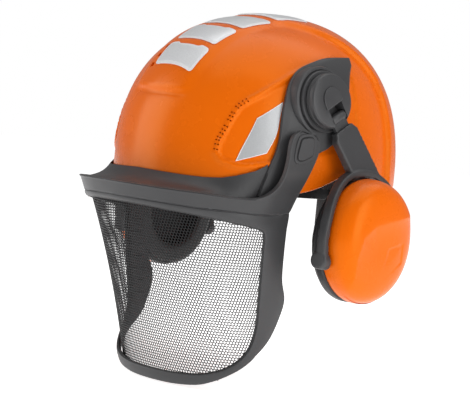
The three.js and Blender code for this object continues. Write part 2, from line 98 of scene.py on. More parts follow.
lamp("overhead", (0.1, 0.1, 1.3), (1.5, 1.5), 9)
lamp("right_side", (1.5, 0.15, 0.5), (0.7, 1.3), 8.6)
lamp("front_left", (-1.2, -1.25, 0.5), (0.9, 1.2), 7.5)


def set_inputs(node, values):
    for name, value in values.items():
        node.inputs[name].default_value = value


# the camera sees a white room, and the object is lit by a dimmer one
world = bpy.data.worlds.new("studio")
scene.world = world
world.use_nodes = True
nodes, links = world.node_tree.nodes, world.node_tree.links
nodes.clear()
seen = nodes.new("ShaderNodeBackground")
set_inputs(seen, {"Color": (1, 1, 1, 1), "Strength": 1.0})
fill = nodes.new("ShaderNodeBackground")
set_inputs(fill, {"Color": (1, 1, 1, 1), "Strength": 0.3})
ray = nodes.new("ShaderNodeLightPath")
choose = nodes.new("ShaderNodeMixShader")
out = nodes.new("ShaderNodeOutputWorld")
links.new(ray.outputs["Is Camera Ray"], choose.inputs[0])
links.new(fill.outputs[0], choose.inputs[1])
links.new(seen.outputs[0], choose.inputs[2])
links.new(choose.outputs[0], out.inputs["Surface"])


# ------------------------------------------------ materials
def node_set(name):
    """A new material, its nodes and links, its shader, and where each point lies on its object."""
    material = bpy.data.materials.new(name)
    material.use_nodes = True
    tree = material.node_tree
    where = tree.nodes.new("ShaderNodeTexCoord").outputs["Object"]
    return material, tree.nodes, tree.links, tree.nodes["Principled BSDF"], where


def noise(nodes, links, where, scale, detail=3.0, rough=0.5):
    node = nodes.new("ShaderNodeTexNoise")
    set_inputs(node, {"Scale": scale, "Detail": detail, "Roughness": rough})
    links.new(where, node.inputs["Vector"])
    return node.outputs["Fac"]


def spread(nodes, links, value, low, high, start=0.3, end=0.7):
    """Maps a value between start and end to one between low and high."""
    node = nodes.new("ShaderNodeMapRange")
    set_inputs(node, {"From Min": start, "From Max": end, "To Min": low, "To Max": high})
    links.new(value, node.inputs["Value"])
    return node.outputs["Result"]


def blend_colour(nodes, links, share, first, second):
    node = nodes.new("ShaderNodeMix")
    node.data_type = "RGBA"
    links.new(share, node.inputs["Factor"])
    for socket, value in ((node.inputs["A"], first), (node.inputs["B"], second)):
        if isinstance(value, tuple):
            socket.default_value = (*value, 1)
        else:
            links.new(value, socket)
    return node.outputs["Result"]


def bump(nodes, links, height, depth, strength=1.0, under=None):
    node = nodes.new("ShaderNodeBump")
    set_inputs(node, {"Strength": strength, "Distance": depth})
    links.new(height, node.inputs["Height"])
    if under is not None:
        links.new(under, node.inputs["Normal"])
    return node.outputs["Normal"]


def moulded(name, colour, roughness, grain, depth, wear=0.0, tone=0.1, ior=1.5, glint=(1, 1, 1)):
    """Moulded plastic: fine grain, patches of uneven gloss, and edges that are rubbed lighter."""
    material, nodes, links, shader, where = node_set(name)
    darker = tuple(c * (1 - tone) for c in colour)
    lighter = tuple(min(1, c * (1 + tone)) for c in colour)
    cloud = noise(nodes, links, where, 14, 4)
    paint = blend_colour(nodes, links, cloud, darker, lighter)
    if wear:
        edge = nodes.new("ShaderNodeNewGeometry").outputs["Pointiness"]
        rubbed = spread(nodes, links, edge, 0, wear, 0.5, 0.62)
        paint = blend_colour(nodes, links, rubbed, paint, tuple(min(1, c * 2.2 + 0.03) for c in colour))
    links.new(paint, shader.inputs["Base Color"])
    patchy = noise(nodes, links, where, 45, 5, 0.6)
    links.new(spread(nodes, links, patchy, roughness - 0.05, roughness + 0.07), shader.inputs["Roughness"])
    soft = bump(nodes, links, noise(nodes, links, where, 60, 2), 0.00012, 0.5)
    fine = bump(nodes, links, noise(nodes, links, where, grain, 2), depth, 0.6, soft)
    links.new(fine, shader.inputs["Normal"])
    set_inputs(shader, {"IOR": ior, "Specular Tint": (*glint, 1)})
    return material


def film(name, colour, roughness, metallic, cell):
    """Reflective film: tiny prism cells under a clear face."""
    material, nodes, links, shader, where = node_set(name)
    cells = nodes.new("ShaderNodeTexVoronoi")
    cells.inputs["Scale"].default_value = cell
    links.new(where, cells.inputs["Vector"])
    cloud = noise(nodes, links, where, 25, 3)
    tone = blend_colour(nodes, links, cloud, tuple(c * 0.86 for c in colour), colour)
    sparkle = spread(nodes, links, cells.outputs["Distance"], 0, 0.35, 0, 0.8)
    links.new(blend_colour(nodes, links, sparkle, tone, tuple(min(1, c * 1.2) for c in colour)),
              shader.inputs["Base Color"])
    links.new(spread(nodes, links, cloud, roughness - 0.05, roughness + 0.08), shader.inputs["Roughness"])
    links.new(bump(nodes, links, cells.outputs["Distance"], 0.00008, 0.35), shader.inputs["Normal"])
    set_inputs(shader, {"Metallic": metallic, "Coat Weight": 0.4, "Coat Roughness": 0.15})
    return material


def soft_skin(name, colour, roughness, cell, depth, sheen=0.0):
    """Leathery or foamy skin: a cell pattern with a finer noise over it."""
    material, nodes, links, shader, where = node_set(name)
    cells = nodes.new("ShaderNodeTexVoronoi")
    cells.feature = "SMOOTH_F1"
    cells.inputs["Scale"].default_value = cell
    links.new(where, cells.inputs["Vector"])
    cloud = noise(nodes, links, where, 70, 5)
    tint = blend_colour(nodes, links, cloud, tuple(c * 0.75 for c in colour), tuple(c * 1.35 for c in colour))
    links.new(tint, shader.inputs["Base Color"])
    links.new(spread(nodes, links, cloud, roughness - 0.08, roughness + 0.08), shader.inputs["Roughness"])
    coarse = bump(nodes, links, cells.outputs["Distance"], depth, 0.6)
    fine = bump(nodes, links, noise(nodes, links, where, cell * 3, 4), depth * 0.4, 0.5, coarse)
    links.new(fine, shader.inputs["Normal"])
    set_inputs(shader, {"Sheen Weight": sheen, "Sheen Roughness": 0.4})
    return material


def woven(name, colour):
    """Webbing: two crossing sets of threads."""
    material, nodes, links, shader, where = node_set(name)
    heights = []
    for direction in ("DIAGONAL", "Y"):
        wave = nodes.new("ShaderNodeTexWave")
        wave.bands_direction = direction
        set_inputs(wave, {"Scale": 130, "Distortion": 0.6, "Detail": 2})
        links.new(where, wave.inputs["Vector"])
        heights.append(wave.outputs["Fac"])
    over = nodes.new("ShaderNodeMath")
    over.operation = "MAXIMUM"
    links.new(heights[0], over.inputs[0])
    links.new(heights[1], over.inputs[1])
    dark, pale = (tuple(c * gain for c in colour) for gain in (0.5, 1.5))
    thread = blend_colour(nodes, links, over.outputs[0], dark, pale)
    links.new(thread, shader.inputs["Base Color"])
    cloud = noise(nodes, links, where, 400, 3)
    links.new(spread(nodes, links, cloud, 0.65, 0.9), shader.inputs["Roughness"])
    links.new(bump(nodes, links, over.outputs[0], 0.0003, 0.7), shader.inputs["Normal"])
    shader.inputs["Sheen Weight"].default_value = 0.3
    return material


ORANGE = moulded("orange_plastic", (0.82, 0.137, 0.002), 0.25, 1500, 0.00001, tone=0.04,
                 glint=(1.0, 0.55, 0.12))
GREY = moulded("dark_plastic", (0.037, 0.037, 0.039), 0.44, 2600, 0.00003, wear=0.35)
BLACK = moulded("black_plastic", (0.014, 0.014, 0.015), 0.42, 2200, 0.00003, wear=0.25, tone=0.12)
# near-black paint that stands in for the shade inside gaps and grooves
PAINTED_SHADE = moulded("shadow_gap", (0.008, 0.008, 0.009), 0.7, 1500, 0.00002)
SILVER = film("reflective_film", (0.82, 0.83, 0.85), 0.32, 0.3, 900)
# the crown's reflective film again, made darker as painted shade for the side patches
SILVER_SHADED = film("reflective_film_painted_shade", (0.46, 0.47, 0.48), 0.36, 0.3, 900)
SILVER_EDGE = film("reflective_border", (0.82, 0.82, 0.83), 0.4, 0.05, 1400)
WIRE = moulded("coated_mesh", (0.014, 0.014, 0.015), 0.5, 3000, 0.00002, tone=0.12, ior=1.3)
STEEL = moulded("plain_steel", (0.5, 0.5, 0.52), 0.3, 1800, 0.00002)
set_inputs(STEEL.node_tree.nodes["Principled BSDF"], {"Metallic": 0.9})
SKIN = soft_skin("cushion_skin", (0.018, 0.018, 0.019), 0.48, 900, 0.00012, sheen=0.15)
FOAM = soft_skin("open_foam", (0.02, 0.02, 0.022), 0.85, 650, 0.0004, sheen=0.1)
WEBBING = woven("webbing", (0.026, 0.026, 0.029))


# ------------------------------------------------ mesh tools
SIDES = ("left", "right")


def round_turn(count):
    """Angles evenly round a full turn."""
    return np.linspace(0, 2 * np.pi, count, endpoint=False)


def smooth_step(value, start, end):
    t = np.clip((value - start) / (end - start), 0, 1)
    return t * t * (3 - 2 * t)


def spline(points, t):
    """Points on a smooth curve through `points`, for t from 0 to 1."""
    p = np.asarray(points, float)
    p = np.vstack([2 * p[0] - p[1], p, 2 * p[-1] - p[-2]])
    x = np.clip(np.asarray(t, float), 0, 1) * (len(p) - 3)
    i = np.minimum(x.astype(int), len(p) - 4)
    f = (x - i)[..., None]
    a, b, c, d = p[i], p[i + 1], p[i + 2], p[i + 3]
    square, cube = 2 * a - 5 * b + 4 * c - d, 3 * b - a - 3 * c + d
    return 0.5 * (2 * b + (c - a) * f + square * f ** 2 + cube * f ** 3)


def path_distance(points, path):
    """Distance of each point to the nearest stretch of a path, in as many dimensions as the path has."""
    path = np.asarray(path, float)
    best = np.full(len(points), np.inf)
    for a, b in zip(path[:-1], path[1:]):
        d = b - a
        along = np.clip(((points - a) @ d) / (d @ d), 0, 1)
        best = np.minimum(best, np.linalg.norm(points - a - along[:, None] * d, axis=1))
    return best


def inside_outline(points, outline):
    """True for each 2-D point inside a closed outline."""
    outline = np.asarray(outline, float)
    x, y = points[:, 0], points[:, 1]
    inside = np.zeros(len(points), bool)
    for (x0, y0), (x1, y1) in zip(outline, np.roll(outline, -1, axis=0)):
        if y0 == y1:
            continue
        crosses = ((y0 > y) != (y1 > y)) & (x < (x1 - x0) * (y - y0) / (y1 - y0) + x0)
        inside ^= crosses
    return inside


def slab(across, along, place):
    """A closed block of across by along cells. place(s, t, w) puts its points, w being 0 or 1."""
    s, t = np.meshgrid(np.linspace(0, 1, across + 1), np.linspace(0, 1, along + 1))
    s, t = s.ravel(), t.ravel()
    points = np.vstack([place(s, t, np.ones_like(s)), place(s, t, np.zeros_like(s))])
    n, row = len(s), across + 1
    faces = []
    for j in range(along):
        for i in range(across):
            k = j * row + i
            faces.append((k, k + 1, k + 1 + row, k + row))
            faces.append((n + k, n + k + row, n + k + row + 1, n + k + 1))
    edge = list(range(row)) + [row * j + across for j in range(1, along + 1)]
    edge += [row * along + i for i in range(across - 1, -1, -1)] + [row * j for j in range(along - 1, 0, -1)]
    for a, b in zip(edge, edge[1:] + edge[:1]):
        faces.append((a, n + a, n + b, b))
    return points, faces


def loft(rows, loop=False):
    """Rings of points joined one to the next. The two ends are closed to their middle, or to each other."""
    rows = [np.asarray(r, float) for r in rows]
    n = len(rows[0])
    points = np.vstack(rows)
    faces = []
    pairs = list(zip(range(len(rows) - 1), range(1, len(rows)))) + ([(len(rows) - 1, 0)] if loop else [])
    for a, b in pairs:
        for i in range(n):
            j = (i + 1) % n
            faces.append((a * n + i, a * n + j, b * n + j, b * n + i))
    if not loop:
        for ring, start in ((0, 0), (len(rows) - 1, (len(rows) - 1) * n)):
            middle = len(points)
            points = np.vstack([points, rows[ring].mean(axis=0)])
            for i in range(n):
                pair = (start + i, start + (i + 1) % n)
                faces.append((*pair[::-1], middle) if ring == 0 else (*pair, middle))
    return points, faces


def tube(path, radius, sides=10, loop=False):
    """A round rod along a path."""
    path = np.asarray(path, float)
    ahead = np.roll(path, -1, axis=0) - np.roll(path, 1, axis=0)
    if not loop:
        ahead[0], ahead[-1] = path[1] - path[0], path[-1] - path[-2]
    ahead /= np.linalg.norm(ahead, axis=1)[:, None]
    side = np.cross(ahead[0], [0.3, 0.2, 0.9])
    rows = []
    for point, way in zip(path, ahead):
        side = side - way * (side @ way)
        side /= np.linalg.norm(side)
        other = np.cross(way, side)
        turn = round_turn(sides)[:, None]
        rows.append(point + radius * (np.cos(turn) * side + np.sin(turn) * other))
    return loft(rows, loop)


def on_side(shape, side):
    """A shape of the wearer's left, mirrored if it is for the right."""
    if side == "left":
        return shape
    points, faces = shape
    return np.asarray(points) * (-1, 1, 1), [tuple(reversed(f)) for f in faces]


def together(*shapes):
    points, faces, start = [], [], 0
    for p, f in shapes:
        points.append(np.asarray(p, float))
        faces += [tuple(i + start for i in face) for face in f]
        start += len(p)
    return np.vstack(points), faces


def thing(name, shape):
    """A mesh object from points in millimetres, with its faces turned outwards."""
    points, faces = shape
    mesh = bpy.data.meshes.new(name)
    mesh.from_pydata((np.asarray(points, float) * MM).tolist(), [], faces)
    work = bmesh.new()
    work.from_mesh(mesh)
    bmesh.ops.remove_doubles(work, verts=work.verts, dist=1e-6)
    bmesh.ops.recalc_face_normals(work, faces=work.faces)
    work.to_mesh(mesh)
    work.free()
    obj = bpy.data.objects.new(name, mesh)
    scene.collection.objects.link(obj)
    return obj


def settle(obj):
    """Applies an object's modifiers to its mesh."""
    bpy.context.view_layer.update()
    done = bpy.data.meshes.new_from_object(obj.evaluated_get(bpy.context.evaluated_depsgraph_get()))
    obj.modifiers.clear()
    obj.data = done
    return obj


def carve(obj, *shapes):
    """Cuts each shape out of a piece."""
    for shape in shapes:
        cutter = thing("cutter", shape)
        step = obj.modifiers.new("carve", "BOOLEAN")
        step.operation = "DIFFERENCE"
        step.solver = "EXACT"
        step.object = cutter
        settle(obj)
        bpy.data.objects.remove(cutter)
    return obj


def fuse(obj, voxel, rounds):
    """Melts overlapping solids into one moulding with softened edges."""
    step = obj.modifiers.new("melt", "REMESH")
    step.mode = "VOXEL"
    step.voxel_size = voxel * MM
    relax = obj.modifiers.new("relax", "SMOOTH")
    relax.factor = 0.5
    relax.iterations = rounds
    return settle(obj)


def dress(obj, material, body, stands_for=(), edge=0.0, sharp=38):
    """Gives a piece its finish and its place in the model."""
    obj.data.materials.clear()
    obj.data.materials.append(material)
    obj.data.polygons.foreach_set("use_smooth", [True] * len(obj.data.polygons))
    if edge:
        step = obj.modifiers.new("edge", "BEVEL")
        step.width = edge * MM
        step.segments = 3
        step.limit_method = "ANGLE"
        step.angle_limit = math.radians(sharp)
        step.harden_normals = True
        step.use_clamp_overlap = False
    else:
        obj.data.set_sharp_from_angle(angle=math.radians(sharp))
    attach(obj, body)
    if stands_for:
        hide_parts(*stands_for)
    return obj


def pair(name, shape, material, body, stands_for=(), **how):
    """The same piece on both sides. Its nodes, and a body that ends in an underscore, get left or right."""
    made = []
    for side in SIDES:
        whole = body + side if body.endswith("_") else body
        nodes = [n + side for n in stands_for]
        made.append(dress(thing(f"{name}_{side}", on_side(shape, side)), material, whole, nodes, **how))
    return made


# ------------------------------------------------ the shell's surface
X_AXIS, Y_AXIS, Z_AXIS = np.eye(3)
FRONT, REAR, HALF, HIGH = 119.6, 100.7, 91.1, 118.6
POWER, CROWN = 2.27, 2.56
WALL = 2.6
CREST_EDGE = [(28, -115), (29, -60), (30, -19), (52, 22), (66, 46), (80, 54), (100, 52)]
CREST_RISE, REAR_RISE = 1.9, 1.9
FOREHEAD_STEP, HOLLOW_DEPTH = 57, 1.2
RIM_FRONT, RIM_DROP, EAR_ARCH, ARCH_ANGLE, ARCH_SPREAD = -8, 6, 23, 101, 26
RIB_RISE, PANEL_DEPTH = 1.4, 0.9


def length_at(y):
    return np.where(y < 0, FRONT, REAR)


def across_term(value, size):
    return np.abs(value / size) ** POWER


def up_term(z):
    return np.abs(z / HIGH) ** CROWN


def shell_normal(p):
    x, y, z = p.T
    n = np.stack([
        np.sign(x) * POWER * across_term(x, HALF) / np.maximum(np.abs(x), 1e-6),
        np.sign(y) * POWER * across_term(y, length_at(y)) / np.maximum(np.abs(y), 1e-6),
        np.sign(z) * CROWN * up_term(z) / np.maximum(np.abs(z), 1e-6),
    ], axis=1)
    return n / np.linalg.norm(n, axis=1)[:, None]


def crest(p):
    """How far the crest stands above the plain dome: a soft edge in front, a crisp one behind."""
    bevel = 10 - 7 * smooth_step(p[:, 1], -30, 30)
    flat = np.stack([np.abs(p[:, 0]), p[:, 1]], axis=1)
    nearest = np.full(len(p), np.inf)
    inside = np.ones(len(p))
    for a, b in zip(CREST_EDGE[:-1], CREST_EDGE[1:]):
        a, b = np.array(a, float), np.array(b, float)
        d = b - a
        along = np.clip(((flat - a) @ d) / (d @ d), 0, 1)
        distance = np.linalg.norm(flat - a - along[:, None] * d, axis=1)
        closer = distance < nearest
        side = np.sign((flat[:, 1] - a[1]) * d[0] - (flat[:, 0] - a[0]) * d[1])
        inside = np.where(closer, np.where(side == 0, 1, side), inside)
        nearest = np.minimum(distance, nearest)
    edge = smooth_step(inside * nearest, -bevel / 2, bevel / 2)
    below = FOREHEAD_STEP - p[:, 2]
    forehead = np.where(p[:, 1] < 0, smooth_step(-below, 0, 4), 1)
    hollow = HOLLOW_DEPTH * np.exp(-np.abs(below) / 2.5) * (below > 0) * (p[:, 1] < 0)
    hollow = hollow * (1 - smooth_step(np.abs(p[:, 0]), 22, 30))
    rise = CREST_RISE + REAR_RISE * smooth_step(p[:, 1], -30, -20)
    return (rise * edge * forehead - hollow) * (p[:, 2] > 0)


def from_side(y, z):
    """A point on the wearer's left of the plain dome, given its y and z."""
    y, z = np.broadcast_arrays(np.asarray(y, float), np.asarray(z, float))
    left = np.maximum(0, 1 - across_term(y, length_at(y)) - up_term(z))
    return np.stack([HALF * left ** (1 / POWER), y, z], axis=-1).reshape(-1, 3)


def from_top(x, y, lift=0.0):
    """A point on top of the shell, crest and all, given its x and y."""
    x, y = np.broadcast_arrays(np.asarray(x, float), np.asarray(y, float))
    left = np.maximum(0, 1 - across_term(x, HALF) - across_term(y, length_at(y)))
    p = np.stack([x, y, HIGH * left ** (1 / CROWN)], axis=-1).reshape(-1, 3)
    return p + shell_normal(p) * (lift + crest(p))[:, None]


def shell_radius(turn):
    across, along = across_term(np.sin(turn), HALF), across_term(np.cos(turn), length_at(-np.cos(turn)))
    return (across + along) ** (-1 / POWER)


def rim_height(turn):
    """Height of the shell's rim, which drops a little to the back and arches up over each ear."""
    angle = np.degrees(np.abs(np.arctan2(np.sin(turn), np.cos(turn))))
    arch = EAR_ARCH * np.exp(-(((angle - ARCH_ANGLE) / ARCH_SPREAD) ** 2))
    return RIM_FRONT - RIM_DROP * (1 - np.cos(turn)) / 2 + arch


def dome_base(turn, up):
    """Points of the plain dome in the directions given by an angle round from the front and an angle up."""
    level = np.stack([np.sin(turn), -np.cos(turn), 0 * turn], axis=1)
    way = level * np.cos(up)[:, None] + np.outer(np.sin(up), Z_AXIS)
    near, far = np.zeros(len(way)), np.full(len(way), 2 * HIGH)
    for _ in range(40):
        middle = (near + far) / 2
        p = way * middle[:, None]
        full = across_term(p[:, 0], HALF) + across_term(p[:, 1], length_at(p[:, 1])) + up_term(p[:, 2]) < 1
        near, far = np.where(full, middle, near), np.where(full, far, middle)
    return way * near[:, None]


# the recessed panel on each side and the rib round its front, as y and z
RIB = [(3, 93), (-18, 87), (-32, 82.5), (-45, 77), (-58, 69.5), (-70, 62), (-79, 56.5), (-86, 50),
       (-91, 41), (-95.5, 30), (-98, 22), (-99, 17), (-96, 12), (-90, 9.5), (-82, 9), (-72, 11),
       (-60, 13), (-45, 16)]
RIB_3D = from_side(*np.array(RIB).T)


def panel(p):
    """The rib and the shallow recess behind it."""
    q = np.column_stack([np.abs(p[:, 0]), p[:, 1:]])
    gap = path_distance(q, RIB_3D)
    rib = RIB_RISE * (1 - smooth_step(gap, 1.1, 2.2)) * (q[:, 0] > 20)
    inside = inside_outline(q[:, 1:], RIB + [(10, 30), (15, 80)]) & (q[:, 0] > 20)
    return rib - PANEL_DEPTH * np.where(inside, smooth_step(gap, RIB_RISE, 2.6), 0)


def shell_face(p):
    return p + shell_normal(p) * (crest(p) + panel(p))[:, None]


def shell_shape(columns, rows, inner_rows):
    turn = round_turn(columns)
    low = np.arctan2(rim_height(turn), shell_radius(turn))
    rings = []
    for share in np.linspace(1, 0, inner_rows + 1)[1:]:
        base = dome_base(turn, low + (np.pi / 2 - low) * share)
        rings.append(base + shell_normal(base) * (crest(base) - WALL)[:, None])
    for angle in np.linspace(-90, 90, 9)[1:-1]:
        base = dome_base(turn, low)
        lift = -WALL / 2 + WALL / 2 * math.sin(math.radians(angle))
        ring = base + shell_normal(base) * lift
        ring[:, 2] -= WALL / 2 * math.cos(math.radians(angle))
        rings.append(ring)
    for share in np.linspace(0, 1, rows + 1)[:-1]:
        rings.append(shell_face(dome_base(turn, low + (np.pi / 2 - low) * share)))
    return loft(rings)


def box(middle, out, along, size):
    """A box with its middle at a point, `size` = (across, along, out)."""
    out = out / np.linalg.norm(out)
    along = along - out * (along @ out)
    along /= np.linalg.norm(along)
    axes = np.array([np.cross(along, out), along, out]) * np.reshape(size, (3, 1))
    return slab(1, 1, lambda s, t, w: middle + np.column_stack([s - 0.5, t - 0.5, w - 0.5]) @ axes)


# small vents down the front of each panel, in pairs, and three slots beside the crown patches
VENT_SIZE, CROWN_SLOT_SIZE = (1.25, 1.0, 3.4), (3.6, 4.2, 9)
slots = []
VENT_PATH = [(-80, 56), (-85, 52), (-88.6, 47), (-91.2, 41.5), (-93.8, 35.6), (-96.2, 30.3), (-97.9, 26),
             (-99, 18)]
for share in (0.0, 0.065, 0.13, 0.195, 0.31, 0.38, 0.45, 0.56, 0.63, 0.70, 0.80, 0.86, 0.92, 0.98):
    base, later = from_side(*spline(VENT_PATH, np.array([share, share + 0.02])).T)
    out = shell_normal(base[None])[0]
    ahead = (later - base) / np.linalg.norm(later - base)
    for nudge in (-1.05, 1.05):
        slots.append(box(base + np.cross(out, ahead) * nudge, out, ahead, VENT_SIZE))
slots += [on_side(s, "right") for s in slots]
for x, y in ((-19, -100), (-19, -94), (-18.5, -87.5)):
    base = from_top(x, y)
    slots.append(box(base[0], shell_normal(base)[0], np.array([0, 1, 0.6]), CROWN_SLOT_SIZE))

shell = thing("shell_moulding", shell_shape(384, 120, 36))
carve(shell, together(*slots))
dress(shell, ORANGE, "helmet", ["shell"], sharp=50)


# ------------------------------------------------ reflective patches
def patch_shape(place, size, lift, thick, inset=0.0, corner=2.5, notch=1.6):
    """A film with round corners and a notch in its rear edge. place(a, b, lift) maps it onto the shell."""
    wide, tall = size[0] / 2 - inset, size[1] / 2 - inset
    corner = max(0.3, corner - inset)

    def put(s, t, w):
        a, b = (2 * s - 1) * wide, (2 * t - 1) * tall
        over_a = np.maximum(0, np.abs(a) - (wide - corner))
        over_b = np.maximum(0, np.abs(b) - (tall - corner))
        far = np.hypot(over_a, over_b)
        largest = np.maximum(np.maximum(over_a, over_b), 1e-9)
        pull = np.where(far > 0, largest / np.maximum(far, 1e-9), 1)
        a = np.sign(a) * (np.minimum(np.abs(a), wide - corner) + over_a * pull)
        b = np.sign(b) * (np.minimum(np.abs(b), tall - corner) + over_b * pull)
        b = b - notch * smooth_step(b, 0, tall) * (1 - smooth_step(np.abs(a), 0.45 * wide, 0.62 * wide))
        return place(a, b, lift + thick * w)

    return slab(28, 24, put)


# front, rear and half width of each
CROWN_PATCHES = [(-101, -85.5, 20.5), (-81.5, -62, 21.5), (-57, -30, 22.5), (-24, 6, 23.5)]
PATCH_SHIFT, PATCH_TAPER = 5, 0.004
for number, (front, rear, half) in enumerate(CROWN_PATCHES, 1):
    middle, size = (front + rear) / 2, (2 * half, rear - front)

    def on_crown(a, b, lift, middle=middle):
        return from_top(PATCH_SHIFT + a * (1 + PATCH_TAPER * b), middle + b, lift)

    border = thing(f"crown_patch_border_{number}", patch_shape(on_crown, size, 0.25, 0.45))
    dress(border, SILVER_EDGE, "helmet", [f"crown_reflector_{number}"], sharp=40)
    face = thing(f"crown_patch_face_{number}", patch_shape(on_crown, size, 0.6, 0.25, inset=1.5))
    dress(face, SILVER, "helmet", sharp=40)

SIDE_FRONT = [(-88, 12), (-85, 21), (-81, 30.5), (-75, 44)]
SIDE_REAR = [(-68.5, 19.5), (-62.2, 33), (-59, 46), (-55.6, 57.4)]


def side_patch(lift, thick, inset):
    def put(s, t, w):
        t = inset + (1 - 2 * inset) * t
        s = inset * 1.6 + (1 - 3.2 * inset) * s
        front, rear = spline(SIDE_FRONT, t), spline(SIDE_REAR, t)
        spot = rear + (front - rear) * s[:, None]
        base = from_side(spot[:, 0], spot[:, 1])
        return base + shell_normal(base) * (lift + thick * w)[:, None]
    return slab(16, 30, put)


pair("side_patch_border", side_patch(-0.8, 0.55, 0.0), SILVER_EDGE, "helmet", ["side_reflector_"], sharp=40)
# the side patches' face takes the darker copy of the film, which is painted shade
pair("side_patch_face", side_patch(-0.4, 0.25, 0.02), SILVER_SHADED, "helmet", sharp=40)


# ------------------------------------------------ the visor's surface
def visor_size(z):
    drop = -7 - z
    return 85.3 - 0.0945 * drop, -66.7 + 0.096 * drop, 88 - 0.46 * drop + 0.0009 * drop * drop


def visor_at(u, z, lift):
    """u runs from -1 to 1 round the front, and past that straight back, in hundreds of millimetres."""
    a, y0, b = visor_size(z)
    side = np.where(u < 0, -1.0, 1.0)
    turn = np.pi / 2 * (1 - np.minimum(1, np.abs(u)))
    x = (a + lift) * np.cos(turn)
    y = y0 - (b + lift) * np.sin(turn) + np.maximum(0, np.abs(u) - 1) * 100
    return np.stack([side * x, y, z + 0 * x], axis=-1)


def rail_low(u):
    return -24 - 12 * np.minimum(1, u * u)


MESH_CORNER, MESH_LOW = -106.0, -150.0


def mesh_low(u):
    return MESH_CORNER + (MESH_LOW - MESH_CORNER) * (1 - np.minimum(1, np.abs(u)) ** 4) ** 0.75


# ------------------------------------------------ peak and side plates
def shell_at_height(turn, z, lift):
    reach = shell_radius(turn) * (1 - up_term(z)) ** (1 / POWER)
    p = np.stack([np.sin(turn) * reach, -np.cos(turn) * reach, z], axis=1)
    return p + shell_normal(p) * np.reshape(lift + np.zeros(len(p)), (-1, 1))


# height of the lip by u, and of the brim's root by the angle round from the front
LIP = [(0, -9.6), (0.2, -10.0), (0.37, -10.8), (0.51, -11.3), (0.64, -12.2), (0.79, -13.6), (0.89, -14.2),
       (0.96, -12.5), (1.0, -9.0)]
BRIM_ROOT = [(0, 0.3), (20, -1.0), (27, -1.1), (33, -0.2), (38, 2.2), (45, 6.9), (48.5, 11), (50.7, 15.5),
             (52, 19)]
LIP_LIFT, LIP_WALL, ROOT_DEPTH, BRIM_SAG = -7.2, 2.2, 9, 2.6


def brim(s, t, w):
    """The brim from one side to the other: it rises from the shell, dips, and rolls up to its lip."""
    u = 1 - 2 * s
    lip = visor_at(u, np.interp(np.abs(u), *np.transpose(LIP)) - LIP_WALL * (1 - w), LIP_LIFT)
    turn = np.arctan2(lip[:, 0], -lip[:, 1])
    high = np.interp(np.degrees(np.abs(turn)), *np.transpose(BRIM_ROOT))
    root = shell_at_height(turn, high - ROOT_DEPTH * (1 - w), 0.5 + 1.8 * w)
    p = root + (lip - root) * t[:, None]
    p[:, 2] -= BRIM_SAG * w * np.sin(np.pi * t) * (1 - 0.5 * t)
    return p


# the side plate's two edges, as y and z
PLATE_FRONT = [(-73, -12), (-69.5, 2), (-66.5, 12), (-63.5, 20), (-61, 30), (-59, 44), (-56, 56),
               (-50, 69.5), (-40, 80), (-25, 86.5), (-8, 91), (17, 93)]
PLATE_REAR = [(-58, -12), (-52, 1), (-44, 11), (-31, 21), (-20, 27), (-10, 35), (-4, 44), (0, 53),
              (2, 60), (4, 68), (9, 79), (15, 87)]
PLATE_GAP, PLATE_PROUD = 0.1, 2.4


def plate(s, t, w):
    """The side plate, with a rim round its edges and a rise towards the turret."""
    front, rear = spline(PLATE_FRONT, t), spline(PLATE_REAR, t)
    spot = rear + (front - rear) * s[:, None]
    base = from_side(spot[:, 0], spot[:, 1])
    rim = 0.5 * smooth_step(np.minimum(s, 1 - s), 0.0, 0.12)
    proud = PLATE_PROUD + 0.9 * smooth_step(spot[:, 1], 0, 26) + rim
    return base + shell_normal(base) * (crest(base) + PLATE_GAP + (proud - PLATE_GAP) * w)[:, None]


dress(thing("peak_brim", slab(150, 14, brim)), GREY, "helmet", ["peak_carrier"], edge=0.7)
pair("side_plate", slab(26, 90, plate), GREY, "helmet", edge=0.8)
PIVOT_X, PIVOT_Y, PIVOT_Z = 92.2, -47.0, 26.0


def round_ring(centre, axis, across, height, radius, sides=64):
    """One ring of a turned shape, at a height along its axis."""
    turn = round_turn(sides)[:, None]
    other = np.cross(axis, across)
    return centre + height * axis + radius * (np.cos(turn) * across + np.sin(turn) * other)


def turned(centre, axis, across, profile, sides=64):
    """A turned solid from (height, radius) pairs."""
    return loft([round_ring(centre, axis, across, h, r, sides) for h, r in profile])


BOSS_PROFILE = [(78, 7.4), (90.6, 7.2), (91.4, 6.8), (91.8, 6)]
boss = turned(np.array([0, PIVOT_Y, PIVOT_Z]), X_AXIS, Y_AXIS, BOSS_PROFILE)
pair("visor_boss", boss, GREY, "helmet", sharp=30)


# ------------------------------------------------ visor bracket, one sweep from pivot to pivot
# its two edges, as u and z
BRACKET_TOP = [(0, -9.6), (0.2, -10.0), (0.37, -10.8), (0.51, -11.3), (0.64, -12.2), (0.79, -13.2),
               (0.9, -12.4), (0.965, -7.6), (1.01, 0.5), (1.04, 9), (1.064, 18), (1.078, 27), (1.11, 34),
               (1.18, 38.3)]
BRACKET_LOW = [(0, -20.7), (0.22, -21.2), (0.42, -22.4), (0.57, -23.5), (0.78, -24.3), (0.93, -25.0),
               (1.07, -24.6), (1.15, -23.2), (1.192, -21.6), (1.215, -9), (1.262, 4), (1.335, 17),
               (1.374, 28), (1.33, 35.5)]
BRACKET_WALL, LEDGE, ROLLED_EDGE = 3.6, 2.7, 0.9


